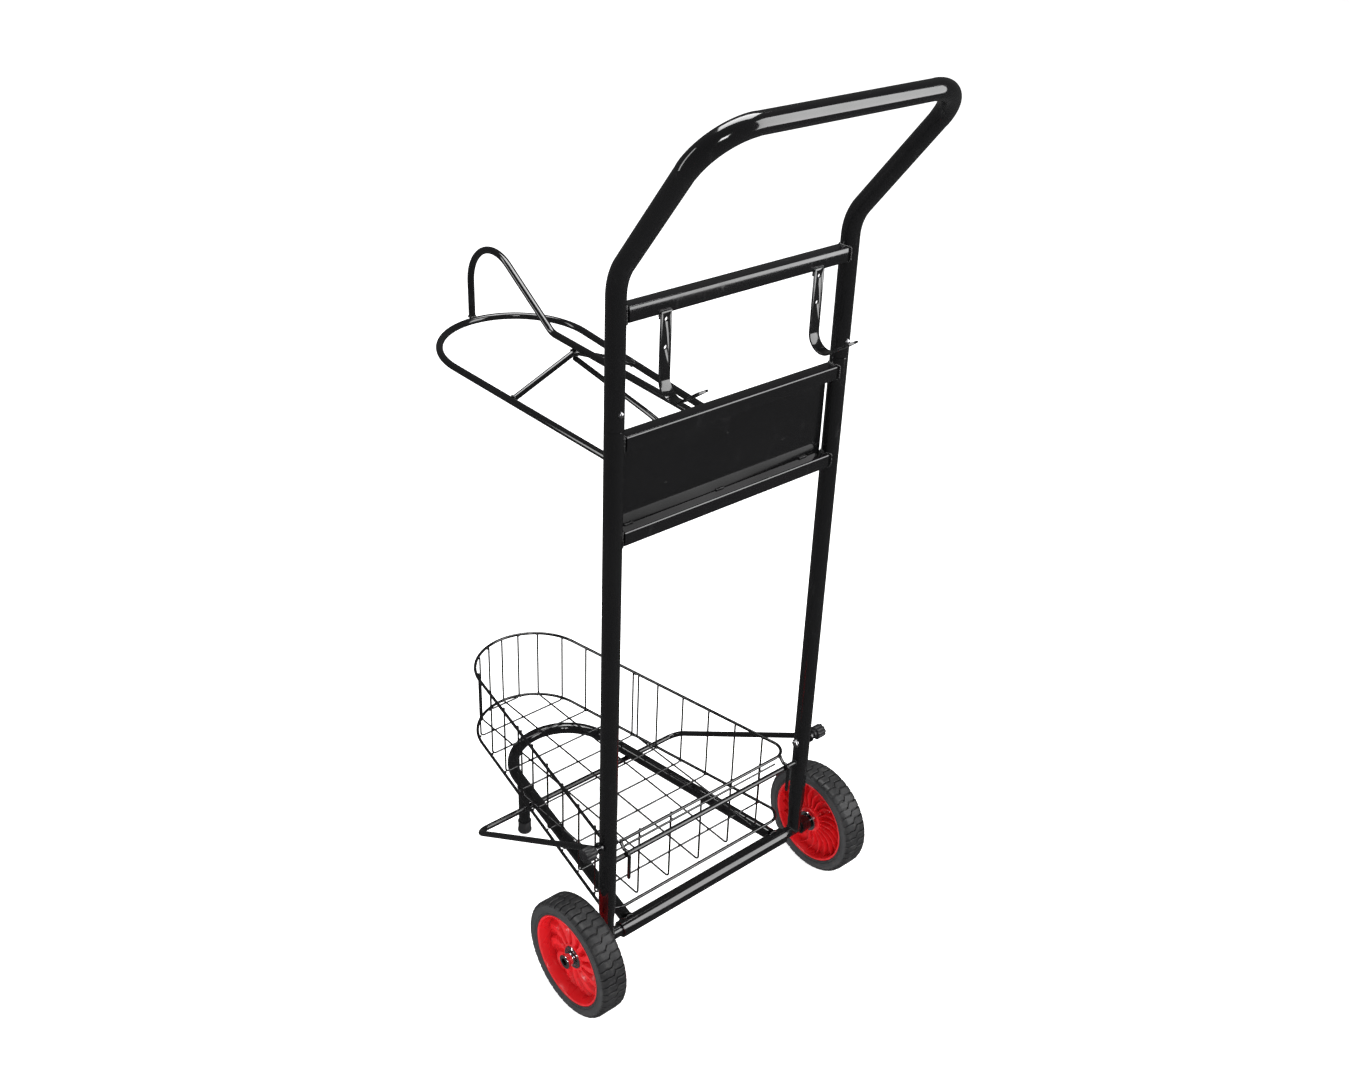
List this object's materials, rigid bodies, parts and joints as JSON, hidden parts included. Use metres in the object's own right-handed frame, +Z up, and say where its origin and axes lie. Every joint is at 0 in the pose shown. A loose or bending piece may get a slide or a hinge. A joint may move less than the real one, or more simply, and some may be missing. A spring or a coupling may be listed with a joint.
{
  "type": "saddle cart hand truck",
  "caption": "Two-wheeled hand truck for saddles: tube frame, saddle rack with horn, lift-off wire basket, toe loop, swinging brace and bridle hooks.",
  "frame": {"origin": "on the floor below the middle of the outline", "axes": "+Z up; -Y is the load side with rack and basket, +Y is the side the person pushes from; +X is that person's left; the axle runs along X"},
  "size_m": [0.5336, 0.7584, 1.3014],
  "materials": {
    "paint": "gloss black powder coat",
    "plated": "bright plated steel",
    "rim": "satin red moulded plastic",
    "tyre": "charcoal moulded rubber",
    "cap": "matt black rubber",
    "knob": "satin black plastic"
  },
  "bodies": {
    "frame": {"axle": "plated", "axle_clip_left": "plated", "axle_clip_right": "plated", "back_panel": "paint", "cross_rod": "paint", "foot_cap_left": "cap", "foot_cap_right": "cap", "handle_tube": "paint", "hook_left": "paint", "hook_right": "paint", "joint_sleeve_left": "plated", "joint_sleeve_right": "plated", "lower_rail": "paint", "middle_rail": "paint", "pivot_bolt_left": "plated", "pivot_bolt_right": "plated", "platform_sleeve": "paint", "rack_cross_brace": "paint", "rack_loop": "paint", "rack_spine": "paint", "rack_strut": "paint", "toe_leg_left": "paint", "toe_leg_right": "paint", "toe_loop": "paint", "upper_rail": "paint", "upright_left": "paint", "upright_right": "paint", "wheel_spacer_left": "paint", "wheel_spacer_right": "paint"},
    "wheel_left": {"tyre_left": "tyre", "rim_left": "rim", "hub_bushing_left": "plated"},
    "wheel_right": {"tyre_right": "tyre", "rim_right": "rim", "hub_bushing_right": "plated"},
    "knob_left": {"knob_left": "knob"},
    "knob_right": {"knob_right": "knob"},
    "brace": {"brace_rod": "paint"},
    "basket": {"basket_rim": "paint", "basket_base_ring": "paint", "basket_rear_wire": "paint", "basket_hook_left": "paint", "basket_hook_right": "paint", "cross_wire_1": "paint", "cross_wire_2": "paint", "cross_wire_3": "paint", "cross_wire_4": "paint", "cross_wire_5": "paint", "cross_wire_6": "paint", "cross_wire_7": "paint", "cross_wire_8": "paint", "cross_wire_9": "paint", "cross_wire_10": "paint", "long_wire_0": "paint", "long_wire_1_left": "paint", "long_wire_1_right": "paint", "long_wire_2_left": "paint", "long_wire_2_right": "paint"},
    "button_left": {"snap_button_left": "plated"},
    "button_right": {"snap_button_right": "plated"}
  },
  "joints": [
    {"name": "wheel_left_spin", "type": "hinge", "parent": "frame", "child": "wheel_left", "pos_m": [0.2427, 0.21382, 0.09], "axis": [1, 0, 0], "continuous": true},
    {"name": "wheel_right_spin", "type": "hinge", "parent": "frame", "child": "wheel_right", "pos_m": [-0.2427, 0.21382, 0.09], "axis": [1, 0, 0], "continuous": true},
    {"name": "knob_left_turn", "type": "hinge", "parent": "frame", "child": "knob_left", "pos_m": [0.2265, 0.21382, 0.268], "axis": [1, 0, 0], "continuous": true},
    {"name": "knob_right_turn", "type": "hinge", "parent": "frame", "child": "knob_right", "pos_m": [-0.2265, 0.21382, 0.268], "axis": [1, 0, 0], "continuous": true},
    {"name": "brace_swing", "type": "hinge", "parent": "frame", "child": "brace", "pos_m": [0, 0.21382, 0.268], "axis": [1, 0, 0], "range_deg": [0, 14]},
    {"name": "basket_lift", "type": "slide", "parent": "frame", "child": "basket", "axis": [0, 0, 1], "range_m": [0, 0.12]},
    {"name": "button_left_press", "type": "slide", "parent": "frame", "child": "button_left", "axis": [0, -1, 0], "range_m": [0, 0.0028], "stiffness_N_per_m": 800},
    {"name": "button_right_press", "type": "slide", "parent": "frame", "child": "button_right", "axis": [0, -1, 0], "range_m": [0, 0.0028], "stiffness_N_per_m": 800}
  ]
}
